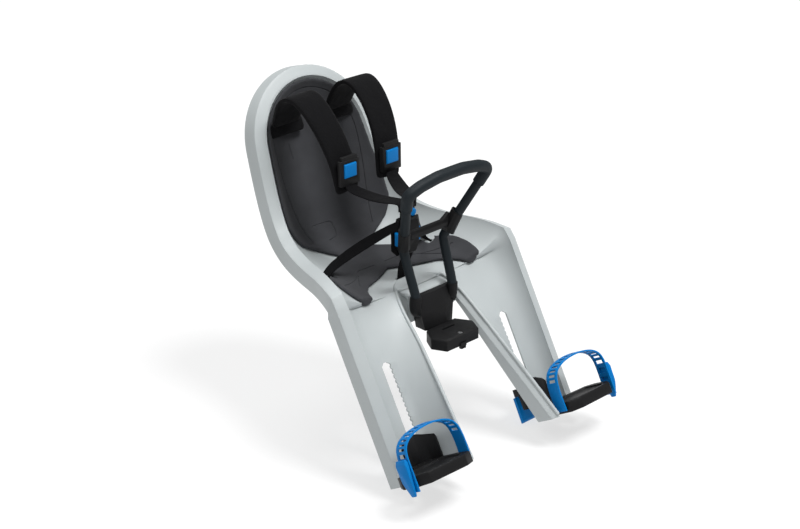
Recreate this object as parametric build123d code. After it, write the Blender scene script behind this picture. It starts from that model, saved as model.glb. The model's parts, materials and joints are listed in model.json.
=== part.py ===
"""Front child seat for a bicycle: moulded shell, padding, harness, handlebar, bracket and footrests.

Millimetres. +Z is up, the child faces -Y, +X is the child's left. The origin is the centre of the mouth
of the socket in the underside of the mount head, where the seat is set on the bicycle.
"""
import os
from math import cos, radians, sin, sqrt

from build123d import *

os.makedirs("parts", exist_ok=True)

# Shell: wall and rim
WALL = 3.0
BEVEL_OUT = 18.5
BEVEL_DROP = 7.0
LIP_OUT = 2.0
LIP_DROP = 25.0

# Shell stations from the centre of the top arch down to the hip:
# crest y, crest z, tilt of the section plane from upright, half width at the crest, depth of the floor
BODY = [
    (305.6, 259.2, 68.0, 105.5, 24.0),
    (290.0, 221.0, 64.0, 110.0, 26.0),
    (268.6, 177.4, 60.5, 115.4, 31.0),
    (248.0, 151.0, 54.0, 121.0, 39.0),
    (226.0, 139.5, 40.0, 128.0, 49.0),
    (203.0, 133.5, 22.0, 135.5, 55.0),
    (163.0, 129.5, 6.0, 147.0, 55.0),
    (125.0, 130.0, 0.0, 158.5, 55.0),
    (90.0, 128.5, 6.0, 169.5, 54.0),
    (57.5, 122.5, 17.0, 179.0, 50.0),
]
ARCH_Y, ARCH_Z, BACK_TILT = BODY[0][:3]

# Leg stations below the hip: the same five numbers, then centre of the trough floor, inner crest x,
# height of the inner wall above the floor, depth of the return on the gap side
LEG_LEAN = 28.8
LEG_TILT = 90.0 - LEG_LEAN
LEG_TOP_Y = 38.3
LEG_TOP_Z = 97.1
LEG_LENGTH = 281.0
LEG_HALF = 179.7


def down_leg(s):
    """The outer crest s below the top of the leg."""
    return (LEG_TOP_Y - s * sin(radians(LEG_LEAN)), LEG_TOP_Z - s * cos(radians(LEG_LEAN)))


LEGS = [
    (44.5, 107.0, 42.0, 180.0, 43.5, 76.0, 34.0, 0.8, 3.5),
    down_leg(4.0) + (LEG_TILT, LEG_HALF, 39.0, 104.0, 53.0, 1.5, 4.0),
    down_leg(40.0) + (LEG_TILT, LEG_HALF, 32.0, 120.0, 64.5, 10.0, 6.0),
    down_leg(100.0) + (LEG_TILT, LEG_HALF, 25.5, 131.0, 71.5, 27.0, 12.0),
    down_leg(190.0) + (LEG_TILT, LEG_HALF, 25.0, 131.5, 86.0, 55.0, 23.0),
    down_leg(LEG_LENGTH) + (LEG_TILT, LEG_HALF, 25.0, 132.0, 100.0, 83.0, 32.0),
]


def between(stations, cuts):
    """The stations with cuts - 1 more set evenly between each two, on a smooth curve without overshoot."""
    columns = []
    for values in zip(*stations):
        steps = [b - a for a, b in zip(values, values[1:])]
        slopes = [steps[0]]
        for a, b in zip(steps, steps[1:]):
            slopes.append(2.0 * a * b / (a + b) if a * b > 0.0 else 0.0)
        slopes.append(steps[-1])
        column = []
        for i in range(len(steps)):
            for k in range(cuts):
                t = k / cuts
                column.append(
                    values[i] * (1.0 + 2.0 * t) * (1.0 - t) ** 2
                    + slopes[i] * t * (1.0 - t) ** 2
                    + values[i + 1] * t * t * (3.0 - 2.0 * t)
                    + slopes[i + 1] * t * t * (t - 1.0)
                )
        columns.append(column + [values[-1]])
    return list(zip(*columns))


def place(station, x, h):
    """A point x across and h above the crest line, in the plane of a station."""
    y, z, tilt = station[:3]
    return (x, y - h * sin(radians(tilt)), z + h * cos(radians(tilt)))


def floor_h(station, x, centre=0.0):
    """Height of the moulded floor below the crest line at x across."""
    half, depth = station[3], station[4]
    share = min(1.0, max(0.0, x - centre) / (half - centre))
    return -depth * (1.0 - share**4) ** 0.8


def moved(points, t):
    """An open outline in a section plane moved t towards its right-hand side, corner by corner."""
    normals = []
    for (x0, h0), (x1, h1) in zip(points, points[1:]):
        length = sqrt((x1 - x0) ** 2 + (h1 - h0) ** 2)
        normals.append(((h1 - h0) / length, (x0 - x1) / length))
    out = []
    for i, (x, h) in enumerate(points):
        a = normals[max(0, i - 1)]
        b = normals[min(len(normals) - 1, i)]
        nx, nh = a[0] + b[0], a[1] + b[1]
        length = sqrt(nx * nx + nh * nh)
        nx, nh = nx / length, nh / length
        grow = t / max(0.45, nx * b[0] + nh * b[1])
        out.append((x + grow * nx, h + grow * nh))
    return out


def ring(station, points, t):
    """The closed loop of a wall t thick behind an outline, in a station's plane."""
    back = moved(points, t)
    if points[0][0] == 0.0:
        back[0] = (0.0, back[0][1])
    return [place(station, x, h) for x, h in points + back[::-1]]


def flip(loop):
    return [(-x, y, z) for x, y, z in loop]


def turn_up(loop, angle):
    """A loop in the top station's plane turned about the middle of the arch, away from +X."""
    c, k = cos(radians(angle)), sin(radians(angle))
    rise = (cos(radians(BACK_TILT)), sin(radians(BACK_TILT)))
    return [(x * c, y + x * k * rise[0], z + x * k * rise[1]) for x, y, z in loop]


def patch(loop_a, loop_b, open_loop):
    """Flat triangles between two loops of the same number of points."""
    faces = []
    count = len(loop_a)
    for i in range(count - 1 if open_loop else count):
        j = (i + 1) % count
        for corners in ((loop_a[i], loop_a[j], loop_b[j]), (loop_a[i], loop_b[j], loop_b[i])):
            u, v, w = (Vector(*c) for c in corners)
            if (v - u).cross(w - u).length > 1e-4:
                faces.append(Face(Wire.make_polygon([u, v, w], close=True)))
    return faces


def moulding(loops, on_middle, arch_steps):
    """A closed solid of half loops, made whole by their mirror image and by a turned arch over the first loop.

    The first on_middle loops start and end in the middle plane, where the two halves meet.
    """
    faces = []
    for side in (loops, [flip(loop) for loop in loops]):
        for i, (a, b) in enumerate(zip(side, side[1:])):
            faces += patch(a, b, i + 1 < on_middle)
        if on_middle < len(loops):
            faces.append(Face(Wire.make_polygon([Vector(*c) for c in side[-1]], close=True)))
    if on_middle == len(loops):
        last = loops[-1]
        half = len(last) // 2
        whole = flip(last[1:half])[::-1] + last[:half] + last[half:-1] + flip(last[half:])[::-1]
        faces.append(Face(Wire.make_polygon([Vector(*c) for c in whole], close=True)))
    turns = [turn_up(loops[0], 180.0 * i / arch_steps) for i in range(arch_steps)] + [flip(loops[0])]
    for a, b in zip(turns, turns[1:]):
        faces += patch(a, b, True)
    return Solid(Shell(faces))


MIDDLE = (0.0, 0.06, 0.12, 0.18, 0.24, 0.29, 0.335)
SHARES = (0.38, 0.54, 0.68, 0.79, 0.88, 0.945, 0.985)


def rim(half):
    """Crest, bevel and lip of the rolled rim."""
    out = half + BEVEL_OUT
    return [(half, 0.0), (out, -BEVEL_DROP), (out + LIP_OUT, -BEVEL_DROP - LIP_DROP)]


def body_outline(station):
    half = station[3]
    return [(half * k, floor_h(station, half * k)) for k in MIDDLE + SHARES] + rim(half)


def leg_outline(station):
    half, depth, centre, inner, wall, turn = station[3:]
    crest = -depth + wall
    low = [(inner - 12.0, crest - 9.0 - turn), (inner - 10.5, crest - 9.0)]
    rise = [(inner + (centre - inner) * k, -depth + wall * (1.0 - k) ** 2.2) for k in (0.0, 0.16, 0.34, 0.58, 1.0)]
    run = [(centre + (half - centre) * k, floor_h(station, centre + (half - centre) * k, centre))
           for k in SHARES]
    return low + rise + run + rim(half)


def mirrored(shape):
    return shape.mirror(Plane.YZ)


# Seat shell
rings = [ring(st, body_outline(st), WALL) for st in between(BODY, 2)]
middle_rings = len(rings)
rings += [ring(st, leg_outline(st), WALL) for st in between(LEGS, 2)]
seat_shell = moulding(rings, middle_rings, 16)


def strip(stations):
    """A solid of four-cornered sections: centre, half width vector, half thickness vector."""
    loops = []
    for centre, across, through in stations:
        c, w, t = Vector(*centre), Vector(*across), Vector(*through)
        loops.append([tuple(corner) for corner in (c - w - t, c + w - t, c + w + t, c - w + t)])
    faces = [Face(Wire.make_polygon(loop, close=True)) for loop in (loops[0], loops[-1])]
    for loop_a, loop_b in zip(loops, loops[1:]):
        faces += patch(loop_a, loop_b, False)
    return Solid(Shell(faces))


def side_block(profile, x0, x1):
    """A (y, z) outline carried from x0 to x1."""
    face = Face(Wire.make_polygon([(x0, y, z) for y, z in profile], close=True))
    return extrude(face, amount=x1 - x0, dir=(1, 0, 0))


# Leg plane: x across, s down the leg from its top, p out of the leg towards the child
LEG_DOWN = (-sin(radians(LEG_LEAN)), -cos(radians(LEG_LEAN)))
LEG_OUT = (-cos(radians(LEG_LEAN)), sin(radians(LEG_LEAN)))


def on_leg(x, s, p):
    y = LEG_TOP_Y + s * LEG_DOWN[0] + p * LEG_OUT[0]
    z = LEG_TOP_Z + s * LEG_DOWN[1] + p * LEG_OUT[1]
    return (x, y, z)


def leg_plate(outline, p0, p1):
    """An (x, s) outline carried from p0 to p1."""
    face = Face(Wire.make_polygon([on_leg(x, s, p0) for x, s in outline], close=True))
    return extrude(face, amount=p1 - p0, dir=(0, LEG_OUT[0], LEG_OUT[1]))


def leg_bar(outline, x0, x1):
    """An (s, p) outline carried from x0 to x1."""
    face = Face(Wire.make_polygon([on_leg(x0, s, p) for s, p in outline], close=True))
    return extrude(face, amount=x1 - x0, dir=(1, 0, 0))


# Bridge under the front of the seat, between the legs, with an apron for the bracket plate
APRON_HALF = 44.0
APRON_Y = 50.0
APRON_BACK = 53.0
apron_side = [(71.5, 74.2), (60, 74.0), (54, 71.8), (APRON_Y, 66.5), (APRON_Y, 27.0), (APRON_BACK, 27.0),
              (APRON_BACK, 64.6), (56, 68.4), (60, 70.0), (71.5, 70.6)]
bridge = side_block(apron_side, -APRON_HALF, APRON_HALF)
bridge = bridge + Pos(0, 78, 67.9) * Box(14, 52, 3) + Pos(0, 96.5, 69.9) * Box(96, 15, 3)

# Slots: footrest rails, shoulder straps, hip straps, crotch strap
SLOT_X = 131.0
SLOT_HALF = 8.5
SLOT_TOP = 96.0
SLOT_LOW = 262.0
TOOTH = 8.0
slot = [(SLOT_X + SLOT_HALF, SLOT_TOP + 5), (SLOT_X + SLOT_HALF, SLOT_LOW - 5), (SLOT_X + 3, SLOT_LOW),
        (SLOT_X - 3, SLOT_LOW), (SLOT_X - SLOT_HALF, SLOT_LOW - 5)]
for i in range(19):
    s0 = SLOT_LOW - 8 - i * TOOTH
    slot += [(SLOT_X - SLOT_HALF, s0), (SLOT_X - SLOT_HALF + 1.6, s0 - 2), (SLOT_X - SLOT_HALF + 1.6, s0 - 5),
             (SLOT_X - SLOT_HALF, s0 - 7)]
slot += [(SLOT_X - SLOT_HALF, SLOT_TOP + 5), (SLOT_X - 3, SLOT_TOP), (SLOT_X + 3, SLOT_TOP)]
leg_slot = leg_plate(slot, -45.0, -15.0)
YOKE_X = 54.0
YOKE_UP = 34.0
YOKE_SLOT = (66.0, 15.0)


def on_back(x, up, deep):
    """A point up from the middle of the arch along the backrest and deep behind its rim."""
    c, k = cos(radians(BACK_TILT)), sin(radians(BACK_TILT))
    return (x, ARCH_Y + up * c + deep * k, ARCH_Z + up * k - deep * c)


def yoke_cut(x):
    return Pos(*on_back(x, YOKE_UP, 19)) * Rot(BACK_TILT - 90, 0, 0) * Box(YOKE_SLOT[0], 44, YOKE_SLOT[1])


CROTCH_Y = 110.0
crotch_cut = Pos(0, CROTCH_Y, 75) * Box(32, 5, 30)
HIP = (112.0, 172.0, 88.0)
HIP_LEAN = 38.0


def through_hip(d):
    """A point d above the middle of the left hip slot, along the way the strap passes."""
    return (HIP[0] - d * sin(radians(HIP_LEAN)), HIP[1], HIP[2] + d * cos(radians(HIP_LEAN)))


hip_cut = Pos(*HIP) * Rot(0, -HIP_LEAN, 0) * Box(5, 30, 30)
BOLTS = [(-12, 36), (12, 36), (-12, 60), (12, 60)]


def at_bolt(x, z, shape):
    """A shape made on the Z axis, set level with its base on the apron's back."""
    return Pos(x, APRON_BACK, z) * Rot(90, 0, 0) * shape


for cut in [leg_slot, mirrored(leg_slot), yoke_cut(YOKE_X), yoke_cut(-YOKE_X), crotch_cut, hip_cut, mirrored(hip_cut)]:
    seat_shell = seat_shell - cut
export_step(seat_shell, "parts/seat_shell.step")
for x, z in BOLTS:
    bridge = bridge - at_bolt(x, z, extrude(RegularPolygon(2.6, 12), 25, both=True))
export_step(bridge, "parts/bracket_bridge.step")

# Seat padding: one pad over backrest and seat, following the floor, its waist at the crease
PAD_CLEAR = 0.5
PAD_THICK = 6.0
PAD_EDGE = [102.5, 107.0, 112.0, 112.0, 94.0, 34.0, 112.0, 134.0, 139.0, 135.0]
PAD_FRONT = [132.5, 128.5, 121.0]
PAD_ARCH = [40.0, 76.0, 90.0, 97.5, 102.0, 104.0, 106.0, 109.0]
PAD_SHARES = (0.0, 0.25, 0.45, 0.62, 0.76, 0.87, 0.95, 1.0)


def height_at(outline, x):
    """Height of a section outline x across, level inside its first point."""
    for (x0, h0), (x1, h1) in zip(outline, outline[1:]):
        if x <= x1:
            return h0 + (h1 - h0) * max(0.0, x - x0) / (x1 - x0)
    return outline[-1][1]


def pad_ring(station, outline, edge, inner):
    """A section of the pad from inner to edge, on the shell's outline."""
    xs = [inner + (edge - inner) * k for k in PAD_SHARES]
    points = [(x, height_at(outline, x)) for x in xs]
    low = moved(points, -PAD_CLEAR)
    high = moved(points, -PAD_CLEAR - PAD_THICK)
    low[0], high[0] = (inner, low[0][1]), (inner, high[0][1])
    return [place(station, x, h) for x, h in low + high[::-1]]


pad_edges = [row[0] for row in between([(edge,) for edge in PAD_EDGE], 2)] + PAD_FRONT
pad_rows = [(st, body_outline(st)) for st in between(BODY, 2)]
pad_rows += [(st, leg_outline(st)[2:]) for st in between(LEGS, 2)[:3]]
whole_rows = len(pad_rows) - len(PAD_ARCH)
pad_inner = [0.0] * whole_rows + PAD_ARCH
pad_rings = [pad_ring(st, outline, edge, inner) for (st, outline), edge, inner in zip(pad_rows, pad_edges, pad_inner)]
seat_padding = moulding(pad_rings, whole_rows, 14)
hip_notch = Pos(*HIP) * Rot(0, -HIP_LEAN, 0) * Box(15, 38, 60)
for cut in [yoke_cut(YOKE_X), yoke_cut(-YOKE_X), hip_notch, mirrored(hip_notch)]:
    seat_padding = seat_padding - cut
export_step(seat_padding, "parts/seat_padding.step")


def tape(path, half_wide, half_thick, across=(1, 0, 0)):
    """A flat band along a path: points, half widths, half thicknesses, and the way its width lies, one or each."""
    points = [Vector(*c) for c in path]
    stations = []
    for i, c in enumerate(points):
        along = (points[min(i + 1, len(points) - 1)] - points[max(i - 1, 0)]).normalized()
        side = Vector(*(across[i] if isinstance(across, list) else across))
        side = (side - along * side.dot(along)).normalized()
        through = along.cross(side)
        wide = half_wide[i] if isinstance(half_wide, (list, tuple)) else half_wide
        thick = half_thick[i] if isinstance(half_thick, (list, tuple)) else half_thick
        stations.append((c, side * wide, through * thick))
    return strip(stations)


def pair(name, solid):
    """Writes a piece of the child's left side and its mirror image on the right."""
    export_step(solid, "parts/" + name + "_left.step")
    export_step(mirrored(solid), "parts/" + name + "_right.step")


# Shoulder pads: padded yoke straps from behind the backrest, over the shoulders, down to the adjusters
YOKE_PATH = [on_back(54, YOKE_UP, 26.6), on_back(54, YOKE_UP, 10), (56, 316, 310), (60, 303, 342), (61, 281, 358),
             (60, 255, 351), (58, 230, 327), (54, 209, 296), (48, 194, 258), (44, 189, 214)]
YOKE_WIDE = [24, 26, 29, 29, 28, 27, 26, 25, 24, 23]
YOKE_THICK = [1.5, 2.5, 4, 4, 4, 4, 4, 4, 4, 3]
shoulder_pad = tape(YOKE_PATH, YOKE_WIDE, YOKE_THICK)
pair("shoulder_pad", shoulder_pad)
yoke_bar = Pos(*on_back(YOKE_X, YOKE_UP, 29.6)) * Rot(BACK_TILT - 90, 0, 0) * Box(74, 5, 21)
export_step(Compound([yoke_bar, mirrored(yoke_bar)]), "parts/shoulder_anchors.step")

# Shoulder adjusters and their buttons
ADJ = (45.5, 184.0, 248.0)
BUTTON_FIT = 0.35
BUTTON_TRAVEL = 2.0
adjuster = Pos(*ADJ) * Box(40, 8, 42) + Pos(ADJ[0], ADJ[1], ADJ[2] + 24) * Box(32, 6, 6)
button_hole = Pos(ADJ[0], ADJ[1] - 2, ADJ[2] + 4) * Box(26, 6, 24)
web_slot = Pos(ADJ[0], ADJ[1] - 2, ADJ[2] - 17) * Box(24, 3.2, 9)
adjuster = adjuster - button_hole - web_slot - shoulder_pad
pair("adjuster", adjuster)
adjuster_button = Pos(ADJ[0], ADJ[1] - 4, ADJ[2] + 4) * Box(26 - 2 * BUTTON_FIT, 5, 24 - 2 * BUTTON_FIT)
adjuster_button = chamfer(adjuster_button.faces().sort_by(Axis.Y)[0].edges(), 1.2)
pair("adjuster_button", adjuster_button)

# Webbing
BUCKLE_Y = 98.0
BUCKLE_Z = 152.0
web = [(45.5, 182, 234), (45.5, 182, 224), (42, 174, 218), (26, 136, 209), (14, 106, 211.5), (10.4, 98.3, 209),
       (10, BUCKLE_Y, 196)]
pair("shoulder_webbing", tape(web, [10, 10, 12.5, 14, 12.5, 9, 9], 0.9))
HIP_END = 174.0
hip = [through_hip(-2.8), through_hip(3), through_hip(20), (61, 134, 144), (27, 101, HIP_END - 2), (15.8, BUCKLE_Y, HIP_END)]
hip_ways = [(0, 1, 0), (0, 1, 0), (0, 1, 0), (0, 0.6, 1), (0, 0, 1), (0, 0, 1)]
pair("hip_strap", tape(hip, [9, 9, 9, 9, 7.5, 6.5], 0.9, hip_ways))
hip_bar = Pos(*through_hip(-5.6)) * Rot(0, -HIP_LEAN, 0) * Box(12, 34, 5)
export_step(Compound([hip_bar, mirrored(hip_bar)]), "parts/hip_anchors.step")
crotch_strap = tape([(0, CROTCH_Y, 71.7), (0, CROTCH_Y, 84), (0, 106, 102), (0, 98.6, 118), (0, BUCKLE_Y, 126.5)], 12, 0.9)
export_step(crotch_strap, "parts/crotch_strap.step")
export_step(Pos(0, CROTCH_Y, 68.5) * Box(40, 8, 6), "parts/crotch_anchor.step")

# Buckle
SIDE_TRAVEL = 3.0
front = [(-13, -30), (13, -30), (20, -16), (21, 12), (17, 30), (-17, 30), (-21, 12), (-20, -16)]
buckle_face = Face(Wire.make_polygon([(x, BUCKLE_Y + 8, BUCKLE_Z + z) for x, z in front], close=True))
buckle = extrude(buckle_face, amount=16, dir=(0, -1, 0))
buckle = chamfer(buckle.faces().sort_by(Axis.Y)[0].edges(), 2.5)
side_hole = Pos(17, BUCKLE_Y, BUCKLE_Z - 2) * Box(14, 10, 24)
strap_hole = Pos(0, BUCKLE_Y, BUCKLE_Z + 24) * Box(30, 5, 20) + Pos(0, BUCKLE_Y, BUCKLE_Z - 28) * Box(25, 4, 8)
hip_hole = Pos(20.2, BUCKLE_Y, HIP_END) * Box(10, 4.6, 15.5)
buckle = buckle - side_hole - mirrored(side_hole) - strap_hole - hip_hole - mirrored(hip_hole)
export_step(buckle, "parts/buckle.step")
side_button = Pos(19.5, BUCKLE_Y, BUCKLE_Z - 2) * Box(11, 10 - 2 * BUTTON_FIT, 24 - 2 * BUTTON_FIT)
side_button = chamfer(side_button.faces().sort_by(Axis.X)[-1].edges(), 1.5)
side_button = side_button & (Pos(19, BUCKLE_Y, BUCKLE_Z) * Box(20, 20, 60))
pair("buckle_button", side_button)
tongues = Pos(0, BUCKLE_Y, BUCKLE_Z + 33) * Box(29, 4, 36) - Pos(10, BUCKLE_Y, BUCKLE_Z + 40) * Box(20, 3, 24)
tongues = tongues - Pos(-10, BUCKLE_Y, BUCKLE_Z + 40) * Box(20, 3, 24)
export_step(tongues, "parts/buckle_tongues.step")
badge = Pos(9, BUCKLE_Y - 3.5, BUCKLE_Z + 38) * Rot(90, 0, 0) * extrude(RegularPolygon(6.5, 10), 1.5, both=True)
export_step(badge, "parts/tongue_tab.step")
backing_pad = Pos(0, BUCKLE_Y + 11.2, BUCKLE_Z - 8) * Box(48, 6, 56)
backing_pad = chamfer(backing_pad.edges().filter_by(Axis.Y), 10)
export_step(backing_pad, "parts/buckle_backing.step")

# Bracket: leaning convex plate on a faceted mount head with a socket in its underside
HEAD_TALL = 20.0
HEAD_PLAN = [(33, 22), (47, -3), (35, -27), (-35, -27), (-47, -3), (-33, 22)]
PLATE_TOP = 72.0
SOCKET = (44.0, 30.0, 11.0)


PLATE_BACK = APRON_Y - 0.4


def plate_outline(z, half, thick, bulge):
    xs = (-1.0, -0.75, -0.4, 0.0, 0.4, 0.75, 1.0)
    arc = [(half * k, PLATE_BACK - thick - bulge * (1 - k * k), z) for k in xs]
    return Wire.make_polygon([(half, PLATE_BACK, z), (-half, PLATE_BACK, z)] + arc, close=True)


plate = Solid.make_loft([plate_outline(HEAD_TALL - 4, 30, 22, 6), plate_outline(46, 36, 18.5, 4.5),
                         plate_outline(PLATE_TOP, 38, 6, 4)], True)
head_top = Face(Wire.make_polygon([(x, y, HEAD_TALL) for x, y in HEAD_PLAN], close=True))
head = extrude(head_top, amount=HEAD_TALL, dir=(0, 0, -1))
head = chamfer(head.faces().sort_by(Axis.Z)[-1].edges().sort_by(Axis.Y)[:5], 2.5)
bracket = head + plate
bracket = bracket - Pos(0, 0, SOCKET[2] / 2) * Box(*SOCKET)
bracket = bracket - Pos(0, 6, HEAD_TALL) * Box(27, 4, 6)
LOCK = (0.0, -20.5)
bracket = bracket - Pos(LOCK[0], LOCK[1], HEAD_TALL) * Cylinder(4.0, 24)
LATCH_FIT = 0.35
bracket = bracket - Pos(0, -23, 2.5) * Box(13, 20, 7)
for x, z in BOLTS:
    bracket = bracket - at_bolt(x, z, extrude(RegularPolygon(2.6, 12), 12, both=True))

# Handlebar: one bent tube between elbows that turn into the bracket plate
TUBE_R = 7.75
SLEEVE_R = 10.0
ELBOW_R = 9.4
FIT = 0.1
BAR_HALF = [(20, 40, 45), (40, 40, 45.5), (40.5, 38, 76), (43.5, 62, 148), (88, 5, 269), (62, 2.5, 279), (26, 1, 285)]
BAR_BEND = 11.0
BAR_SIDES = 10
ELBOW_FROM = 0.026
ELBOW_TOP = 75.0
BRACE_Z = (163.0, 187.0)
GRIP_Z = 242.0

bar_points = [(-x, y, z) for x, y, z in BAR_HALF] + BAR_HALF[::-1]
bar_wire = FilletPolyline(*[Vector(*c) for c in bar_points], radius=BAR_BEND)


def at_height(z):
    """Share of the bar's length at which it has first risen to z."""
    return next(i / 4000 for i in range(2000) if bar_wire.position_at(i / 4000).Z >= z)


ELBOW_TO, BRACE_LOW, BRACE_HIGH, GRIP_FROM = (at_height(z) for z in (ELBOW_TOP, *BRACE_Z, GRIP_Z))
marks = [0.0, ELBOW_FROM, ELBOW_TO, BRACE_LOW, BRACE_HIGH, GRIP_FROM]
run = 0.0
for edge in bar_wire.edges():
    cuts = 1 if edge.geom_type == GeomType.LINE else max(1, round(edge.length / BAR_BEND / radians(22)))
    marks += [(run + edge.length * k / cuts) / bar_wire.length for k in range(cuts)]
    run += edge.length
marks = [t for t in marks if t < 0.5]
marks = sorted(set(round(t, 5) for t in marks + [1.0 - t for t in marks]))
bar_loops = []
side = Vector(0, 1, 0.3)
for t in marks:
    along = bar_wire.tangent_at(t)
    side = (side - along * side.dot(along)).normalized()
    bar_loops.append((t, bar_wire.position_at(t), side, along.cross(side)))


def bar_ring(station, radius):
    here, side, up = station[1:]
    turns = [radians(360.0 * k / BAR_SIDES) for k in range(BAR_SIDES)]
    points = [here + side * (radius * cos(a)) + up * (radius * sin(a)) for a in turns]
    return [(v.X, v.Y, v.Z) for v in points]


def rod(radius, first, last, bore=0.0):
    """A many-sided rod along part of the bar's path, or a sleeve if it has a bore."""
    stations = [st for st in bar_loops if first - 1e-4 < st[0] < last + 1e-4]
    outer = [bar_ring(st, radius) for st in stations]
    faces = []
    for a, b in zip(outer, outer[1:]):
        faces += patch(a, b, False)
    if bore:
        inner = [bar_ring(st, bore) for st in stations]
        for a, b in zip(inner, inner[1:]):
            faces += patch(a, b, False)
        faces += patch(outer[0], inner[0], False) + patch(outer[-1], inner[-1], False)
    else:
        faces += [Face(Wire.make_polygon([Vector(*c) for c in loop], close=True)) for loop in (outer[0], outer[-1])]
    return Solid(Shell(faces))


export_step(rod(TUBE_R, 0.0, 1.0), "parts/handlebar.step")
export_step(rod(SLEEVE_R, GRIP_FROM, 1.0 - GRIP_FROM, TUBE_R + FIT), "parts/handlebar_grip.step")
bracket = bracket - rod(TUBE_R + FIT, 0.0, ELBOW_TO) - rod(TUBE_R + FIT, 1.0 - ELBOW_TO, 1.0)
export_step(bracket, "parts/bracket.step")
right_elbow = rod(ELBOW_R, ELBOW_FROM, ELBOW_TO, TUBE_R + FIT) - bracket
left_elbow = rod(ELBOW_R, 1.0 - ELBOW_TO, 1.0 - ELBOW_FROM, TUBE_R + FIT) - bracket
export_step(Compound([right_elbow, left_elbow]), "parts/handlebar_elbows.step")
BRACE_R = 6.0
brace_y, brace_z = 53.0, 175.0
collars = rod(SLEEVE_R, BRACE_LOW, BRACE_HIGH) + rod(SLEEVE_R, 1.0 - BRACE_HIGH, 1.0 - BRACE_LOW)
web_plate = Face(Wire.make_polygon([(-46, brace_y - 3.5, brace_z + 12), (-20, brace_y - 3.5, brace_z),
                                    (-42, brace_y - 3.5, brace_z - 12)], close=True))
web_plate = extrude(web_plate, amount=7.0, dir=(0, 1, 0))
brace = Pos(0, brace_y, brace_z) * Rot(0, 90, 0) * extrude(RegularPolygon(BRACE_R, 10), 40, both=True)
brace = brace + collars + web_plate + mirrored(web_plate)
brace = brace - rod(TUBE_R + FIT, 0.0, GRIP_FROM) - rod(TUBE_R + FIT, 1.0 - GRIP_FROM, 1.0)
export_step(brace, "parts/handlebar_brace.step")

# Lock barrel, mount latch and bracket bolts
barrel = Pos(LOCK[0], LOCK[1], HEAD_TALL - 5) * Cylinder(3.95, 9.5)
barrel = barrel - Pos(LOCK[0], LOCK[1], HEAD_TALL) * Box(1.6, 5.5, 5)
export_step(barrel, "parts/lock_barrel.step")
latch = Pos(0, -23.5, 1.5) * Box(13 - 2 * LATCH_FIT, 11, 7 - 2 * LATCH_FIT) + Pos(0, -26, -4) * Box(11, 5, 6)
for k in (-3.2, 0.0, 3.2):
    latch = latch + Pos(k, -29, -4) * Box(1.4, 1.6, 6)
latch = latch & (Pos(0, -20, 0) * Box(30, 40, 10.9))
export_step(latch, "parts/mount_latch.step")
bolt = Pos(0, 0, -4) * extrude(RegularPolygon(4.5, 12), 4) + extrude(RegularPolygon(2.5, 12), 10)
export_step(Compound([at_bolt(x, z, bolt) for x, z in BOLTS]), "parts/bracket_bolts.step")

# Footrests
REST_TOP = 262.0
REST_THICK = 18.0
LEG_END = LEGS[-1]
tread = [(126, -9), (160, -9), (174, 6), (214, 12), (224, 30), (222, 60), (206, 80), (132, 84), (112, 74),
         (109.5, 40), (115, 14)]


def leg_slab(outline, s0, s1):
    """An (x, p) outline carried down the leg from s0 to s1."""
    face = Face(Wire.make_polygon([on_leg(x, s0, p) for x, p in outline], close=True))
    return extrude(face, amount=s1 - s0, dir=(0, LEG_DOWN[0], LEG_DOWN[1]))


platform = leg_slab(tread, REST_TOP, REST_TOP + REST_THICK)
platform = platform - leg_slab([(128, 14), (206, 22), (210, 58), (198, 70), (136, 72), (122, 62), (121, 34)],
                               REST_TOP - 1, REST_TOP + 3)
pair("footrest_platform", platform)

cradle = [point for point in leg_outline(LEG_END) if 108.0 < point[0] < 166.0]
cradle = moved(cradle, -0.9) + moved(cradle, -5.0)[::-1]
carriage = leg_slab(cradle, REST_TOP - 46, REST_TOP + REST_THICK - 1)
carriage = carriage & leg_plate([(108, 290), (108, 236), (116, 224), (130, 217), (146, 217), (158, 223),
                                 (167, 234), (167, 290)], -60, 60)
back = [(162, -9.2), (121, -9.2), (121, -12), (129, -19.5), (158, -19.5)]
carriage = carriage + leg_slab(back, REST_TOP, REST_TOP + REST_THICK - 2)
STEM = (127.2, 136.4)
carriage = carriage + leg_bar([(230, -30), (256, -30), (256, -21), (230, -21)], *STEM)
carriage = carriage + leg_bar([(226, -40), (262, -40), (262, -29.4), (226, -29.4)], 116, 147)
PIN = (232.0, -46.0)
for x0, x1 in ((116, 120.5), (142.5, 147)):
    carriage = carriage + leg_bar([(226, -40), (238, -40), (238, -50), (226, -50)], x0, x1)
pin_at = on_leg(131.5, *PIN)
carriage = carriage + Pos(*pin_at) * Rot(0, 90, 0) * Cylinder(2.0, 26)
carriage = carriage - platform
pair("footrest_carriage", carriage)

PIN_FIT = 0.08
lever = Pos(*pin_at) * Rot(0, 90, 0) * Cylinder(4.5, 21)
lever = lever + leg_bar([(229, -48), (280, -50.5), (284, -54), (284, -57), (231, -56)], 121, 142)
lever = lever + leg_bar([(240, -50.5), (280, -50.5), (284, -54), (284, -57), (240, -56)], 116.5, 146.5)
lever = lever - Pos(*pin_at) * Rot(0, 90, 0) * Cylinder(2.0 + PIN_FIT, 30)
pair("footrest_lever", lever)

# Ladder straps over the feet, and their catches
STRAP_P = (46.0, 66.0)
STRAP_PATH = [(109, 278), (109, 238), (115, 215), (132, 203), (160, 198), (190, 200), (213, 209), (223, 226),
              (224, 262), (224, 286)]
STRAP_THICK = 2.6


def strap_outline(path, t):
    return moved(path, -t / 2) + moved(path, t / 2)[::-1]


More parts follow.
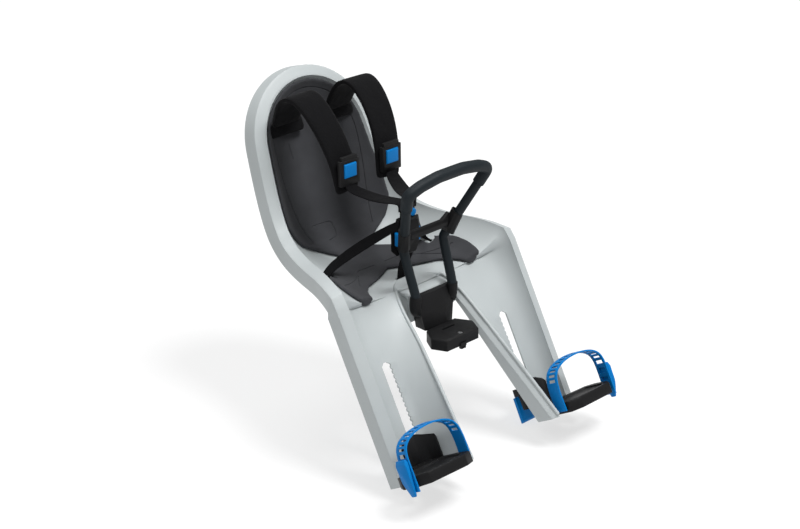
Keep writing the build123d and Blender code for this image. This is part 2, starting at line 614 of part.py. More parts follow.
foot_strap = leg_plate(strap_outline(STRAP_PATH, STRAP_THICK), *STRAP_P)
for i in range(8):
    x = 128 + 10 * i
    foot_strap = foot_strap - leg_plate([(x, 190), (x + 3.4, 190), (x + 3.4, 212), (x, 212)], 50, 62)
foot_strap = foot_strap - platform
pair("foot_strap", foot_strap)
catch = leg_plate([(225.5, 236), (230, 232), (234, 240), (233, 268), (230, 292), (225.5, 292)], 44, 68)
catch = catch - foot_strap - platform
pair("strap_catch", catch)
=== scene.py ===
"""Dresses a front child bicycle seat: smooth shell, foam, webbing, buckle, bar, bracket and footrests."""
import json
import math

import bpy
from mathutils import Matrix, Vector

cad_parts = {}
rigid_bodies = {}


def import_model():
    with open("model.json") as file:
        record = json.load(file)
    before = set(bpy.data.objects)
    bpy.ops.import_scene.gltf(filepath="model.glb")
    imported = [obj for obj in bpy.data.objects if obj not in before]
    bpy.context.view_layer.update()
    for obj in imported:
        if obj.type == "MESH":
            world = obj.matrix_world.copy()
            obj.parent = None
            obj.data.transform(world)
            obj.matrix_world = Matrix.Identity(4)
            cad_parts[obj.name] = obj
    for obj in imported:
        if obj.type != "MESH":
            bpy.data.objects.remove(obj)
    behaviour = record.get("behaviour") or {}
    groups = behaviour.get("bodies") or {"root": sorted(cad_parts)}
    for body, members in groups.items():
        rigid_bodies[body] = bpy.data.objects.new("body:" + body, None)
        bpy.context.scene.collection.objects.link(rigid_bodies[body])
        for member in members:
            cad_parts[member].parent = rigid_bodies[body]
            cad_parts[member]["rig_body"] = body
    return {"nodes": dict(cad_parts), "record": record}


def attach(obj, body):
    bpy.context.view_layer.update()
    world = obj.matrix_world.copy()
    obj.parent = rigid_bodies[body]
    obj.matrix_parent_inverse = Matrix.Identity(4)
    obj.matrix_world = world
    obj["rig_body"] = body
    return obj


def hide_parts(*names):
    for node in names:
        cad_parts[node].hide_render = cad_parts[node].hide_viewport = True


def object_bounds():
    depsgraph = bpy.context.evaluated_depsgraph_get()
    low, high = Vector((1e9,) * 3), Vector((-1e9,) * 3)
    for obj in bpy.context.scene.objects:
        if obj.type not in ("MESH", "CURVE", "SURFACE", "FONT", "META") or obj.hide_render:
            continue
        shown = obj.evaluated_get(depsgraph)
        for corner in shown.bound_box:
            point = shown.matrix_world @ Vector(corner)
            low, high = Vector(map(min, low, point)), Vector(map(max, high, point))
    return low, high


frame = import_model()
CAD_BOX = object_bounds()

bl_info = {
    "name": "Child bicycle seat",
    "version": (1, 0, 0),
    "blender": (4, 5, 0),
    "location": "View3D > Sidebar > Child seat",
    "description": "Builds the looks of a front child bicycle seat round its packed solids",
    "category": "Object",
}

MM = 0.001
SIDES = ("left", "right")
PHOTO_WIDTH = 800


def colour(label, value, text):
    """A colour that a user may change."""
    return bpy.props.FloatVectorProperty(name=label, description=text, subtype="COLOR", size=3, min=0.0,
                                         max=1.0, default=value)


def length(label, value, text):
    """A size in metres that a user may change."""
    return bpy.props.FloatProperty(name=label, description=text, subtype="DISTANCE", unit="LENGTH", min=0.0,
                                   default=value)


class SeatColours(bpy.types.PropertyGroup):
    """Colours of the seat's materials."""

    shell: colour("Shell", (0.395, 0.425, 0.43), "Moulded shell and bridge")
    foam: colour("Foam", (0.034, 0.035, 0.039), "Seat padding")
    fabric: colour("Fabric", (0.0035, 0.0035, 0.004), "Webbing and shoulder pads")
    black: colour("Black plastic", (0.007, 0.007, 0.0075), "Bracket, buckle and footrests")
    blue: colour("Blue plastic", (0.0, 0.155, 0.45), "Buttons, levers and foot straps")
    slate: colour("Slate", (0.0095, 0.0135, 0.0165), "Handlebar and grip")
    steel: colour("Steel", (0.55, 0.55, 0.56), "Bolts and lock")
    floor: colour("Floor", (0.30, 0.30, 0.30), "Studio floor, which also glows a little")


class SeatSizes(bpy.types.PropertyGroup):
    """Edge roundings and the photograph's camera."""

    hard_edge: length("Hard edge", 0.9 * MM, "Rounding of the edges of moulded small parts")
    fine_edge: length("Fine edge", 0.5 * MM, "Rounding of the edges of buttons and tabs")
    bar_grow: length("Bar allowance", 0.45 * MM, "Growth that the smoothing of the bar takes away again")
    foam_grain: length("Foam grain", 2.4 * MM, "Size of the faces that the foam is remeshed to")
    seam: length("Seam", 1.2 * MM, "Radius of the grooves pressed in the foam")
    camera_away: length("Camera distance", 3.1746, "From the camera to the point that it is aimed at")


def sizes():
    """The scene's sizes of the seat."""
    return bpy.context.scene.seat_sizes


def colours():
    """The scene's colours of the seat."""
    return bpy.context.scene.seat_colours


# Materials


def new_material(name, tint, roughness, specular=0.5):
    """A material with one surface shader, and the parts that the finishes add to."""
    material = bpy.data.materials.new(name)
    material.use_nodes = True
    nodes = material.node_tree.nodes
    shader = nodes["Principled BSDF"]
    shader.inputs["Base Color"].default_value = (*tint, 1.0)
    shader.inputs["Roughness"].default_value = roughness
    shader.inputs["Specular IOR Level"].default_value = specular
    place = nodes.new("ShaderNodeTexCoord")
    return material, shader, place


def add_noise(material, place, scale, detail=3.0):
    """A noise over the object's own coordinates."""
    noise = material.node_tree.nodes.new("ShaderNodeTexNoise")
    noise.inputs["Scale"].default_value = scale
    noise.inputs["Detail"].default_value = detail
    material.node_tree.links.new(place.outputs["Object"], noise.inputs["Vector"])
    return noise


def tint_between(material, shader, factor, low, high):
    """The base colour runs between two tints along a factor."""
    ramp = material.node_tree.nodes.new("ShaderNodeValToRGB")
    ramp.color_ramp.elements[0].position = 0.3
    ramp.color_ramp.elements[1].position = 0.7
    ramp.color_ramp.elements[0].color = (*low, 1.0)
    ramp.color_ramp.elements[1].color = (*high, 1.0)
    material.node_tree.links.new(factor, ramp.inputs["Fac"])
    material.node_tree.links.new(ramp.outputs["Color"], shader.inputs["Base Color"])


def rough_between(material, shader, factor, low, high):
    """The roughness runs between two values along a factor."""
    spread = material.node_tree.nodes.new("ShaderNodeMapRange")
    spread.inputs["To Min"].default_value = low
    spread.inputs["To Max"].default_value = high
    material.node_tree.links.new(factor, spread.inputs["Value"])
    material.node_tree.links.new(spread.outputs["Result"], shader.inputs["Roughness"])


def raise_by(material, shader, height, strength, distance):
    """The surface looks raised where a height is large."""
    bump = material.node_tree.nodes.new("ShaderNodeBump")
    bump.inputs["Strength"].default_value = strength
    bump.inputs["Distance"].default_value = distance
    material.node_tree.links.new(height, bump.inputs["Height"])
    material.node_tree.links.new(bump.outputs["Normal"], shader.inputs["Normal"])


def scaled(tint, k):
    """A tint made darker or lighter."""
    return tuple(min(1.0, c * k) for c in tint)


def moulded_plastic(name, tint, roughness, grain, depth, specular=0.5):
    """Fine-grained moulded plastic with a slight drift of tone and gloss."""
    material, shader, place = new_material(name, tint, roughness, specular)
    drift = add_noise(material, place, 14.0, 2.0)
    tint_between(material, shader, drift.outputs["Fac"], scaled(tint, 0.965), scaled(tint, 1.03))
    gloss = add_noise(material, place, 60.0, 4.0)
    rough_between(material, shader, gloss.outputs["Fac"], roughness - 0.05, roughness + 0.06)
    texture = add_noise(material, place, grain, 2.0)
    raise_by(material, shader, texture.outputs["Fac"], depth, 0.0004)
    return material


def foam_material(name, tint):
    """Closed-cell foam: dull, with small pores."""
    material, shader, place = new_material(name, tint, 0.85, 0.16)
    drift = add_noise(material, place, 22.0, 3.0)
    tint_between(material, shader, drift.outputs["Fac"], scaled(tint, 0.88), scaled(tint, 1.12))
    pores = material.node_tree.nodes.new("ShaderNodeTexVoronoi")
    pores.inputs["Scale"].default_value = 700.0
    material.node_tree.links.new(place.outputs["Object"], pores.inputs["Vector"])
    raise_by(material, shader, pores.outputs["Distance"], 0.22, 0.0006)
    shader.inputs["Sheen Weight"].default_value = 0.05
    shader.inputs["Sheen Roughness"].default_value = 0.6
    return material


WRINKLE_SCALE = 48.0
WRINKLE_HEIGHT = 9.0


def weave_material(name, tint, pitch, sheen):
    """Woven cloth: two crossing sets of threads over soft wrinkles."""
    material, shader, place = new_material(name, tint, 0.85, 0.06)
    tree = material.node_tree
    threads = []
    for turn in (math.radians(45), math.radians(-45)):
        mapping = tree.nodes.new("ShaderNodeMapping")
        mapping.inputs["Rotation"].default_value = (0.5, turn, 0.4)
        wave = tree.nodes.new("ShaderNodeTexWave")
        wave.inputs["Scale"].default_value = 1.0 / (pitch * 6.28)
        wave.inputs["Distortion"].default_value = 0.6
        tree.links.new(place.outputs["Object"], mapping.inputs["Vector"])
        tree.links.new(mapping.outputs["Vector"], wave.inputs["Vector"])
        threads.append(wave.outputs["Fac"])
    cloth = tree.nodes.new("ShaderNodeMath")
    cloth.operation = "MAXIMUM"
    tree.links.new(threads[0], cloth.inputs[0])
    tree.links.new(threads[1], cloth.inputs[1])
    tint_between(material, shader, cloth.outputs["Value"], scaled(tint, 0.6), scaled(tint, 1.5))
    wrinkles = add_noise(material, place, WRINKLE_SCALE, 2.0)
    relief = tree.nodes.new("ShaderNodeMath")
    relief.operation = "MULTIPLY_ADD"
    relief.inputs[1].default_value = WRINKLE_HEIGHT
    tree.links.new(wrinkles.outputs["Fac"], relief.inputs[0])
    tree.links.new(cloth.outputs["Value"], relief.inputs[2])
    raise_by(material, shader, relief.outputs["Value"], 0.5, 0.0005)
    shader.inputs["Sheen Weight"].default_value = sheen
    shader.inputs["Sheen Roughness"].default_value = 0.45
    return material


def steel_material(name, tint):
    """Plain zinc-plated steel with fine turning marks."""
    material, shader, place = new_material(name, tint, 0.3)
    shader.inputs["Metallic"].default_value = 1.0
    marks = add_noise(material, place, 900.0, 2.0)
    rough_between(material, shader, marks.outputs["Fac"], 0.22, 0.42)
    raise_by(material, shader, marks.outputs["Fac"], 0.1, 0.0002)
    return material


def finish(slot):
    """The material of a slot of the record, made once."""
    found = bpy.data.materials.get("seat_" + slot)
    if found:
        return found
    tint = colours()
    makers = {
        "shell_plastic": lambda n: moulded_plastic(n, tint.shell, 0.46, 1500.0, 0.05, 0.4),
        "pad_foam": lambda n: foam_material(n, tint.foam),
        "strap_fabric": lambda n: weave_material(n, tint.fabric, 1.1 * MM, 0.05),
        "black_plastic": lambda n: moulded_plastic(n, tint.black, 0.5, 1800.0, 0.16, 0.16),
        "blue_plastic": lambda n: moulded_plastic(n, tint.blue, 0.42, 1500.0, 0.06, 0.12),
        "bar_paint": lambda n: moulded_plastic(n, tint.slate, 0.46, 1600.0, 0.08, 0.16),
        "grip_rubber": lambda n: moulded_plastic(n, tint.slate, 0.52, 1300.0, 0.14, 0.16),
        "steel": lambda n: steel_material(n, tint.steel),
    }
    return makers[slot]("seat_" + slot)


# Pieces

SLOT_OF = {part["node"]: part["material_slot"] for part in frame["record"]["subparts"]}


def only(piece):
    """Selects one object and nothing else."""
    bpy.ops.object.select_all(action="DESELECT")
    piece.select_set(True)
    bpy.context.view_layer.objects.active = piece


def take(node, name):
    """A merged copy of a solid's mesh that stands in its place, moves with its body and has its finish."""
    piece = bpy.data.objects.new(name, frame["nodes"][node].data.copy())
    bpy.context.scene.collection.objects.link(piece)
    only(piece)
    bpy.ops.object.mode_set(mode="EDIT")
    bpy.ops.mesh.select_all(action="SELECT")
    bpy.ops.mesh.remove_doubles(threshold=0.01 * MM)
    bpy.ops.object.mode_set(mode="OBJECT")
    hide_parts(node)
    settle(piece, frame["nodes"][node]["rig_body"], SLOT_OF[node])
    return piece


def settle(piece, body, slot):
    """A piece's body and finish."""
    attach(piece, body)
    piece.data.materials.clear()
    piece.data.materials.append(finish(slot))


def apply(piece, kind, **settings):
    """Adds a modifier and applies it."""
    only(piece)
    modifier = piece.modifiers.new(kind.lower(), kind)
    for key, value in settings.items():
        setattr(modifier, key, value)
    bpy.ops.object.modifier_apply(modifier=modifier.name)


def smooth(piece, degrees):
    """Smooth shading, apart from edges sharper than an angle."""
    only(piece)
    bpy.ops.object.shade_smooth_by_angle(angle=math.radians(degrees))


def crisp(node, name, edge, segments=2):
    """A hard moulded piece: flat faces joined up and every sharp edge rounded."""
    return rounded(take(node, name), edge, segments)


FLAT_ANGLE = math.radians(0.5)
BEVEL_ANGLE = math.radians(28)


def rounded(piece, edge, segments):
    """Joins up the flat faces of a piece and rounds its sharp edges."""
    only(piece)
    bpy.ops.object.mode_set(mode="EDIT")
    bpy.ops.mesh.select_all(action="SELECT")
    bpy.ops.mesh.dissolve_limited(angle_limit=FLAT_ANGLE)
    bpy.ops.object.mode_set(mode="OBJECT")
    apply(piece, "BEVEL", width=edge, segments=segments, limit_method="ANGLE", angle_limit=BEVEL_ANGLE,
          use_clamp_overlap=True, harden_normals=False)
    smooth(piece, 38)
    return piece


# Edges sharper than this are the ends and borders of tapes, pads and tubes
END_SHARP = 60


def flowing(node, name, sharp, crease, levels, grow=0.0):
    """A piece with flowing faces: quads, sharp edges held by a crease, then subdivided."""
    piece = take(node, name)
    bpy.ops.object.mode_set(mode="EDIT")
    bpy.ops.mesh.select_mode(type="EDGE")
    bpy.ops.mesh.select_all(action="SELECT")
    bpy.ops.mesh.tris_convert_to_quads(face_threshold=math.radians(60), shape_threshold=math.radians(60))
    if grow:
        bpy.ops.transform.shrink_fatten(value=grow)
    bpy.ops.mesh.select_all(action="DESELECT")
    bpy.ops.mesh.edges_select_sharp(sharpness=math.radians(sharp))
    if crease:
        bpy.ops.transform.edge_crease(value=crease)
    bpy.ops.object.mode_set(mode="OBJECT")
    apply(piece, "SUBSURF", levels=levels, render_levels=levels)
    smooth(piece, 40)
    return piece


def thread(name, points, levels):
    """A wire of edges through points given in millimetres, smoothed."""
    bpy.ops.object.select_all(action="DESELECT")
    bpy.ops.mesh.primitive_plane_add(size=0.01, location=(0.0, 0.0, 0.0))
    piece = bpy.context.object
    piece.name = name
    bpy.ops.object.mode_set(mode="EDIT")
    bpy.ops.mesh.select_mode(type="VERT")
    bpy.ops.mesh.select_all(action="SELECT")
    bpy.ops.mesh.merge(type="CENTER")
    bpy.ops.transform.translate(value=Vector(points[0]) * MM)
    for a, b in zip(points, points[1:]):
        bpy.ops.mesh.extrude_vertices_move(TRANSFORM_OT_translate={"value": (Vector(b) - Vector(a)) * MM})
    bpy.ops.object.mode_set(mode="OBJECT")
    if levels:
        apply(piece, "SUBSURF", levels=levels, render_levels=levels)
    return piece


def round_out(piece, radius):
    """Turns a wire into a round rod, its radius given in millimetres."""
    only(piece)
    bpy.ops.object.convert(target="CURVE")
    curve = bpy.context.object.data
    curve.bevel_depth = radius * MM
    curve.bevel_resolution = 3
    curve.use_fill_caps = True
    bpy.ops.object.convert(target="MESH")


def side_of(side):
    """The sign of X on a side."""
    return 1.0 if side == "left" else -1.0


def block(name, place, size, lean):
    """A box with its middle and its sides given in millimetres, leaning about the X axis."""
    bpy.ops.object.select_all(action="DESELECT")
    bpy.ops.mesh.primitive_cube_add(size=1.0, location=Vector(place) * MM, rotation=(lean, 0.0, 0.0),
                                    scale=Vector(size) * MM)
    piece = bpy.context.object
    piece.name = name
    bpy.ops.object.transform_apply(location=True, rotation=True, scale=True)
    return piece


def eased(points, steps):
    """The points with more set between them on a smooth curve."""
    ends = [points[0]] + list(points) + [points[-1]]
    out = []
    for a, b, c, d in zip(ends, ends[1:], ends[2:], ends[3:]):
        for k in range(steps):
            t = k / steps
            out.append(tuple(0.5 * (2 * q + (r - o) * t + (2 * o - 5 * q + 4 * r - u) * t * t
                                    + (3 * q - o - 3 * r + u) * t * t * t) for o, q, r, u in zip(a, b, c, d)))
    return out + [tuple(points[-1])]


def mirrored_path(half):
    """A path from the right to the left of the middle plane, from its left half that starts in that plane."""
    return [(-x, y, z) for x, y, z in half[:0:-1]] + half


# Rolled edge of the saddle and of the gap between the legs, its left half
SADDLE = [(0.0, 103.0, 80.0), (18.0, 101.0, 80.0), (34.0, 93.0, 80.0), (46.0, 80.0, 78.5),
          (53.0, 69.0, 75.5), (59.0, 54.0, 64.0), (64.5, 38.0, 51.0), (68.0, 14.0, 31.0),
          (71.5, -11.0, 10.0), (79.0, -46.0, -23.0), (86.0, -80.0, -55.0), (93.0, -114.0, -88.0),
          (99.0, -145.0, -118.0)]

# Where the front of the saddle meets the bracket plate, its left half
FRONT_FOOT = [(0.0, 54.0, 70.0), (14.0, 54.0, 70.0), (28.0, 54.0, 68.5), (38.0, 54.0, 63.0),
              (42.0, 53.5, 54.0), (43.0, 52.0, 42.0), (44.0, 50.0, 30.0)]

BEAD_RADIUS = 3.0
FRONT_DROP = 3.0 * MM
FRONT_WALL = 2.4 * MM
RIM_SHARP = 34
RIM_EDGE = 1.3 * MM


def saddle_front():
    """The hollow face between the rolled edge of the saddle and the bracket plate."""
    top = thread("saddle_front", mirrored_path(SADDLE[:len(FRONT_FOOT)]), 0)
    thread("saddle_foot", mirrored_path(FRONT_FOOT), 0)
    top.select_set(True)
    bpy.context.view_layer.objects.active = top
    bpy.ops.object.join()
    bpy.ops.object.mode_set(mode="EDIT")
    bpy.ops.mesh.select_mode(type="EDGE")
    bpy.ops.mesh.select_all(action="SELECT")
    bpy.ops.mesh.bridge_edge_loops(number_cuts=3, interpolation="LINEAR")
    bpy.ops.mesh.select_all(action="SELECT")
    bpy.ops.mesh.normals_make_consistent(inside=False)
    bpy.ops.transform.translate(value=(0.0, 0.0, -FRONT_DROP))
    bpy.ops.object.mode_set(mode="OBJECT")
    apply(top, "SUBSURF", levels=2, render_levels=2)
    apply(top, "SOLIDIFY", thickness=FRONT_WALL, offset=0.0)
    settle(top, "root", "shell_plastic")
    smooth(top, 50)


class CHILDSEAT_OT_shell(bpy.types.Operator):
    """Builds the moulded shell and the bridge under its front"""

    bl_idname = "childseat.shell"
    bl_label = "Shell"

    def execute(self, context):
        shell = flowing("seat_shell", "shell", RIM_SHARP, 1.0, 2)
        apply(shell, "BEVEL", width=RIM_EDGE, segments=2, limit_method="ANGLE", angle_limit=math.radians(38),
              use_clamp_overlap=True, harden_normals=False)
        smooth(shell, 40)
        crisp("bracket_bridge", "bridge", sizes().hard_edge, 3)
        bead = thread("saddle_bead", mirrored_path(SADDLE), 2)
        apply(bead, "SHRINKWRAP", target=shell, wrap_method="NEAREST_SURFACEPOINT")
        round_out(bead, BEAD_RADIUS)
        settle(bead, "root", "shell_plastic")
        smooth(bead, 60)
        saddle_front()
        return {"FINISHED"}


# Lean of the backrest, the middle of its arch in Y and Z, and the step from there to just before the foam
BACK_LEAN = math.radians(68.0)
BACK_FROM = (305.6, 259.2)
BEFORE_PAD = (8.0, -3.0)
ARCH_SEAM = 88.0
SLEEVE_AT = (54.0, 34.0)
SLEEVE_SIZE = (72.0, 16.0, 24.0)
SLEEVE_EDGE = 6.5 * MM


def on_pad(x, up):
    """A point just before the backrest, up along it from the middle of its arch."""
    return (x, BACK_FROM[0] + up * math.cos(BACK_LEAN) + BEFORE_PAD[0],
            BACK_FROM[1] + up * math.sin(BACK_LEAN) + BEFORE_PAD[1])


def pad_seams():
    """Paths of the grooves in the foam: round the backrest, a pocket, a short mark, and two on each thigh."""
    arch = [on_pad(ARCH_SEAM * math.sin(math.radians(a)), ARCH_SEAM * math.cos(math.radians(a)))
            for a in range(0, 91, 15)]
    seams = [mirrored_path(arch + [on_pad(84.0, -60.0), on_pad(74.0, -123.0), on_pad(63.0, -172.0)])]
    seams.append([on_pad(-50.0, -132.0), on_pad(-12.0, -132.0), on_pad(-9.0, -136.0), on_pad(-10.0, -154.0),
                  on_pad(-16.0, -163.0), on_pad(-32.0, -165.0)])
    seams.append([on_pad(-49.0, 6.0), on_pad(-49.0, -8.0), on_pad(-48.0, -20.0)])
    for side in (1.0, -1.0):
        seams.append([(side * 12.0, 165.0, 90.0), (side * 46.0, 166.0, 90.0), (side * 50.0, 162.0, 90.0),
                      (side * 72.0, 138.0, 88.0), (side * 92.0, 112.0, 86.0)])
        seams.append([(side * 62.0, 148.0, 88.0), (side * 88.0, 130.0, 90.0), (side * 120.0, 116.0, 96.0)])
    return seams


class CHILDSEAT_OT_padding(bpy.types.Operator):
    """Builds the foam pad over the backrest and the seat"""

    bl_idname = "childseat.padding"
    bl_label = "Padding"

    def execute(self, context):
        pad = take("seat_padding", "foam_pad")
        apply(pad, "REMESH", mode="VOXEL", voxel_size=sizes().foam_grain, adaptivity=0.0)
        apply(pad, "SMOOTH", factor=0.5, iterations=10)
        for path in pad_seams():
            seam = thread("seam_cutter", path, 3)
            apply(seam, "SHRINKWRAP", target=pad, wrap_method="NEAREST_SURFACEPOINT")
            round_out(seam, sizes().seam / MM)
            apply(pad, "BOOLEAN", object=seam, operation="DIFFERENCE", solver="EXACT")
            only(seam)
            bpy.ops.object.delete()
        settle(pad, "root", "pad_foam")
        smooth(pad, 50)
        return {"FINISHED"}


class CHILDSEAT_OT_shoulder_pads(bpy.types.Operator):
    """Builds the padded shoulder straps and the bars that hold them behind the backrest"""

    bl_idname = "childseat.shoulder_pads"
    bl_label = "Shoulder pads"

    def execute(self, context):
        for side in SIDES:
            pad = flowing("shoulder_pad_" + side, "shoulder_strap_" + side, END_SHARP, 0.45, 3)
            place = on_pad(side_of(side) * SLEEVE_AT[0], SLEEVE_AT[1])
            sleeve = block("shoulder_sleeve_" + side, place, SLEEVE_SIZE, BACK_LEAN - math.pi / 2)
            apply(sleeve, "BEVEL", width=SLEEVE_EDGE, segments=4, limit_method="NONE")
            settle(sleeve, "root", "strap_fabric")
            smooth(sleeve, 50)
        crisp("shoulder_anchors", "shoulder_bars", sizes().hard_edge)
        return {"FINISHED"}


class CHILDSEAT_OT_webbing(bpy.types.Operator):
    """Builds the flat harness webbing and its anchors"""

    bl_idname = "childseat.webbing"
    bl_label = "Webbing"

    def execute(self, context):
        for node in ("shoulder_webbing_left", "shoulder_webbing_right", "hip_strap_left", "hip_strap_right",
                     "crotch_strap"):
            flowing(node, node + "_web", END_SHARP, 0.9, 3)
        crisp("hip_anchors", "hip_bars", sizes().hard_edge)
        crisp("crotch_anchor", "crotch_bar", sizes().hard_edge)
        return {"FINISHED"}


BACKING_EDGE = 1.6 * MM
ADJUSTER_EDGE = 2.2 * MM
ADJUSTER_KEY_EDGE = 2.0 * MM


class CHILDSEAT_OT_buckle(bpy.types.Operator):
    """Builds the buckle, its tongues and buttons, and the shoulder adjusters"""

    bl_idname = "childseat.buckle"
    bl_label = "Buckle and adjusters"

    def execute(self, context):
        crisp("buckle", "buckle_body", sizes().hard_edge, 3)
        crisp("buckle_tongues", "tongues", sizes().fine_edge)
        crisp("tongue_tab", "tongue_badge", sizes().fine_edge)
        crisp("buckle_backing", "buckle_pad", BACKING_EDGE, 3)
        for side in SIDES:
            crisp("buckle_button_" + side, "release_" + side, sizes().fine_edge, 3)
            crisp("adjuster_" + side, "adjuster_frame_" + side, ADJUSTER_EDGE, 4)
            crisp("adjuster_button_" + side, "adjuster_key_" + side, ADJUSTER_KEY_EDGE, 4)
        return {"FINISHED"}


BRACE_GROWTH = 1.35
BRACE_EDGE = 2.0 * MM


class CHILDSEAT_OT_handlebar(bpy.types.Operator):
    """Builds the bent bar, its grip, elbows and brace"""

    bl_idname = "childseat.handlebar"
    bl_label = "Handlebar"

    def execute(self, context):
        grow = sizes().bar_grow
        flowing("handlebar", "bar_tube", END_SHARP, 0.9, 2, grow)
        flowing("handlebar_grip", "bar_grip", END_SHARP, 0.6, 2, grow)
        flowing("handlebar_elbows", "bar_elbows", END_SHARP, 0.7, 2, grow)
        brace = take("handlebar_brace", "bar_brace")
        bpy.ops.object.mode_set(mode="EDIT")
        bpy.ops.mesh.select_all(action="SELECT")
        bpy.ops.transform.resize(value=(1.0, 1.0, BRACE_GROWTH))
        bpy.ops.object.mode_set(mode="OBJECT")
        rounded(brace, BRACE_EDGE, 4)
        return {"FINISHED"}


LOCK_EDGE = 0.2 * MM
LATCH_EDGE = 0.3 * MM
BOLT_EDGE = 0.4 * MM


class CHILDSEAT_OT_bracket(bpy.types.Operator):
    """Builds the mount bracket with its lock, latch and bolts"""

    bl_idname = "childseat.bracket"
    bl_label = "Bracket"

    def execute(self, context):
        crisp("bracket", "mount_bracket", sizes().hard_edge, 3)
        crisp("lock_barrel", "lock_core", LOCK_EDGE)
        crisp("mount_latch", "latch_key", LATCH_EDGE)
        crisp("bracket_bolts", "plate_bolts", BOLT_EDGE)
        return {"FINISHED"}


# Lean of the legs and the top of their outer crest in Y and Z
LEG_LEAN = math.radians(28.8)
LEG_TOP = (38.3, 97.1)

# Foot strap: its path across and down a leg, the columns of its faces out of the leg, and its windows
STRAP_PATH = [(109.0, 276.0), (109.0, 238.0), (115.0, 215.0), (132.0, 203.0), (160.0, 198.0), (190.0, 200.0),
              (213.0, 209.0), (223.0, 226.0), (224.0, 262.0), (224.0, 286.0)]
STRAP_COLUMNS = (43.6, 48.6, 63.4, 68.4)
STRAP_STEPS = 5
STRAP_WALL = 2.6 * MM
STRAP_EDGE = 0.5 * MM
WINDOWS = slice(7, 41, 2)
TAIL_END = 2.0 * MM
TAIL_DRAWN = (0.8, 0.42, 0.42)
FOOTREST_EDGE = 1.6 * MM


def on_leg(x, s, p):
    """A point x across, s down a leg and p out of it, in millimetres."""
    c, k = math.cos(LEG_LEAN), math.sin(LEG_LEAN)
    return Vector((x, LEG_TOP[0] - s * k - p * c, LEG_TOP[1] - s * c + p * k))


def ladder_strap(side):
    """A flat strap over the foot with a row of windows, grown edge by edge along its path."""
    sign = side_of(side)
    path = eased(STRAP_PATH, STRAP_STEPS)
    first = [on_leg(sign * path[0][0], path[0][1], p) for p in STRAP_COLUMNS]
    strap = thread("ladder_strap_" + side, first, 0)
    bpy.ops.object.mode_set(mode="EDIT")
    bpy.ops.mesh.select_mode(type="EDGE")
    bpy.ops.mesh.select_all(action="SELECT")
    for a, b in zip(path, path[1:]):
        step = on_leg(sign * b[0], b[1], 0.0) - on_leg(sign * a[0], a[1], 0.0)
        bpy.ops.mesh.extrude_edges_move(TRANSFORM_OT_translate={"value": step * MM})
    bpy.ops.mesh.select_mode(type="FACE")
    bpy.ops.mesh.select_all(action="DESELECT")
    bpy.ops.object.mode_set(mode="OBJECT")
    middle = on_leg(0.0, 0.0, sum(STRAP_COLUMNS) / 4.0) * MM
    out = on_leg(0.0, 0.0, 1.0) - on_leg(0.0, 0.0, 0.0)
    inner = [face for face in strap.data.polygons if abs((face.center - middle).dot(out)) < 2.0 * MM]
    for face in inner[WINDOWS]:
        face.select = True
    only(strap)
    bpy.ops.object.mode_set(mode="EDIT")
    bpy.ops.mesh.delete(type="FACE")
    bpy.ops.mesh.select_all(action="SELECT")
    bpy.ops.mesh.normals_make_consistent(inside=False)
    bpy.ops.object.mode_set(mode="OBJECT")
    apply(strap, "SOLIDIFY", thickness=STRAP_WALL, offset=0.0)
    apply(strap, "BEVEL", width=STRAP_EDGE, segments=2, limit_method="ANGLE", angle_limit=math.radians(40))
    node = "foot_strap_" + side
    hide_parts(node)
    settle(strap, frame["nodes"][node]["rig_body"], SLOT_OF[node])
    smooth(strap, 40)


def strap_catch(side):
    """The catch at the outer end of a ladder strap, its tail drawn in to a tongue."""
    catch = take("strap_catch_" + side, "ladder_catch_" + side)
    down = on_leg(0.0, 1.0, 0.0) - on_leg(0.0, 0.0, 0.0)
    lowest = max(vertex.co.dot(down) for vertex in catch.data.vertices)
    bpy.ops.object.mode_set(mode="EDIT")
    bpy.ops.mesh.select_mode(type="VERT")
    bpy.ops.mesh.select_all(action="DESELECT")
    bpy.ops.object.mode_set(mode="OBJECT")
    for vertex in catch.data.vertices:
        vertex.select = vertex.co.dot(down) > lowest - TAIL_END
    bpy.ops.object.mode_set(mode="EDIT")
    bpy.ops.transform.resize(value=TAIL_DRAWN)
    bpy.ops.object.mode_set(mode="OBJECT")
    rounded(catch, FOOTREST_EDGE, 3)


class CHILDSEAT_OT_footrests(bpy.types.Operator):
    """Builds the footrests with their carriages, levers and ladder straps"""

    bl_idname = "childseat.footrests"
    bl_label = "Footrests"

    def execute(self, context):
        for side in SIDES:
            crisp("footrest_platform_" + side, "footrest_" + side, FOOTREST_EDGE, 3)
            crisp("footrest_carriage_" + side, "footrest_rail_" + side, sizes().hard_edge)
            crisp("footrest_lever_" + side, "footrest_key_" + side, sizes().fine_edge)
            ladder_strap(side)
            strap_catch(side)
        return {"FINISHED"}


# Stage

CAMERA_AIM = (0.0, -0.009, 0.020)
CAMERA_AZIMUTH = -45.0
CAMERA_RISE = 26.0
CAMERA_LENS = 90.0
CAMERA_SHIFT = (-55.0 / PHOTO_WIDTH, 65.5 / PHOTO_WIDTH)
FLOOR_SIDE = 40.0
FLOOR_GAP = 2.0 * MM
FLOOR_GLOW = 0.66
AIR_GLOW = 0.36

# Lights: name, place, size across and power
LIGHTS = (
    ("key_light", (1.2, -2.6, 6.2), 2.6, 430.0),
    ("fill_light", (-3.6, -1.6, 4.6), 2.6, 70.0),
    ("top_light", (0.8, 2.4, 6.2), 3.0, 150.0),
)


def area_light(name, place, aim, size, power):
    """A round soft light aimed at a point."""
    bpy.ops.object.light_add(type="AREA", location=place)
    light = bpy.context.object
    light.name = name
    light.rotation_euler = (Vector(aim) - Vector(place)).to_track_quat("-Z", "Y").to_euler()
    light.data.shape = "DISK"
    light.data.size = size
    light.data.energy = power


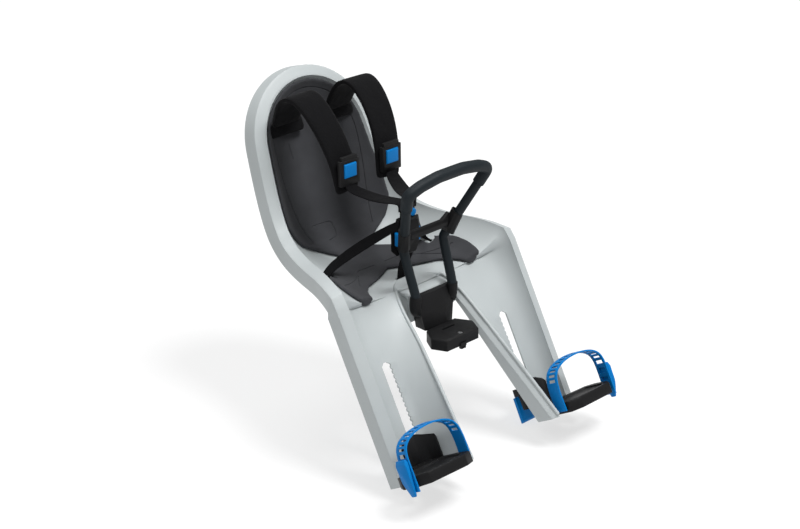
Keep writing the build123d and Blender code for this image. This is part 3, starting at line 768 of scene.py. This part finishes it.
class CHILDSEAT_OT_stage(bpy.types.Operator):
    """Builds the pale floor, the soft studio light and the photograph's camera"""

    bl_idname = "childseat.stage"
    bl_label = "Stage"

    def execute(self, context):
        bpy.ops.object.select_all(action="DESELECT")
        low = CAD_BOX[0][2]
        bpy.ops.mesh.primitive_plane_add(size=FLOOR_SIDE, location=(0.0, 0.0, low - FLOOR_GAP))
        floor = context.object
        floor.name = "studio_floor"
        material, shader, place = new_material("studio_floor_paint", colours().floor, 0.9, 0.1)
        tone = add_noise(material, place, 3.0)
        rough_between(material, shader, tone.outputs["Fac"], 0.86, 0.94)
        shader.inputs["Emission Color"].default_value = (1.0, 1.0, 1.0, 1.0)
        shader.inputs["Emission Strength"].default_value = FLOOR_GLOW
        floor.data.materials.append(material)
        world = bpy.data.worlds.new("studio_air")
        world.use_nodes = True
        air = world.node_tree.nodes["Background"]
        air.inputs["Color"].default_value = (1.0, 1.0, 1.0, 1.0)
        air.inputs["Strength"].default_value = AIR_GLOW
        context.scene.world = world
        aim = Vector(CAMERA_AIM)
        for name, spot, across, power in LIGHTS:
            area_light(name, spot, aim, across, power)
        turn, rise = math.radians(CAMERA_AZIMUTH), math.radians(CAMERA_RISE)
        back = Vector((math.sin(turn) * math.cos(rise), -math.cos(turn) * math.cos(rise), math.sin(rise)))
        bpy.ops.object.camera_add(location=aim + back * sizes().camera_away)
        camera = context.object
        camera.name = "photo_camera"
        camera.rotation_euler = back.to_track_quat("Z", "Y").to_euler()
        camera.data.sensor_fit = "HORIZONTAL"
        camera.data.sensor_width = 36.0
        camera.data.lens = CAMERA_LENS
        camera.data.shift_x, camera.data.shift_y = CAMERA_SHIFT
        context.scene.camera = camera
        context.scene.view_settings.view_transform = "Standard"
        return {"FINISHED"}


STEPS = (
    CHILDSEAT_OT_shell,
    CHILDSEAT_OT_padding,
    CHILDSEAT_OT_shoulder_pads,
    CHILDSEAT_OT_webbing,
    CHILDSEAT_OT_buckle,
    CHILDSEAT_OT_handlebar,
    CHILDSEAT_OT_bracket,
    CHILDSEAT_OT_footrests,
    CHILDSEAT_OT_stage,
)


class CHILDSEAT_PT_panel(bpy.types.Panel):
    """Lists the steps that build the seat"""

    bl_label = "Child seat"
    bl_idname = "CHILDSEAT_PT_panel"
    bl_space_type = "VIEW_3D"
    bl_region_type = "UI"
    bl_category = "Child seat"

    def draw(self, context):
        for step in STEPS:
            self.layout.operator(step.bl_idname)
        for group in (context.scene.seat_sizes, context.scene.seat_colours):
            for key in group.__annotations__:
                self.layout.prop(group, key)


CLASSES = (SeatColours, SeatSizes) + STEPS + (CHILDSEAT_PT_panel,)


def register():
    """Adds the properties, operators and panel."""
    for cls in CLASSES:
        bpy.utils.register_class(cls)
    bpy.types.Scene.seat_colours = bpy.props.PointerProperty(type=SeatColours)
    bpy.types.Scene.seat_sizes = bpy.props.PointerProperty(type=SeatSizes)


def unregister():
    """Takes them away again."""
    del bpy.types.Scene.seat_sizes
    del bpy.types.Scene.seat_colours
    for cls in reversed(CLASSES):
        bpy.utils.unregister_class(cls)


def main():
    """Builds the seat and its stage."""
    register()
    bpy.ops.object.select_all(action="DESELECT")
    bpy.ops.childseat.shell()
    bpy.ops.childseat.padding()
    bpy.ops.childseat.shoulder_pads()
    bpy.ops.childseat.webbing()
    bpy.ops.childseat.buckle()
    bpy.ops.childseat.handlebar()
    bpy.ops.childseat.bracket()
    bpy.ops.childseat.footrests()
    bpy.ops.childseat.stage()


if __name__ == "__main__":
    main()
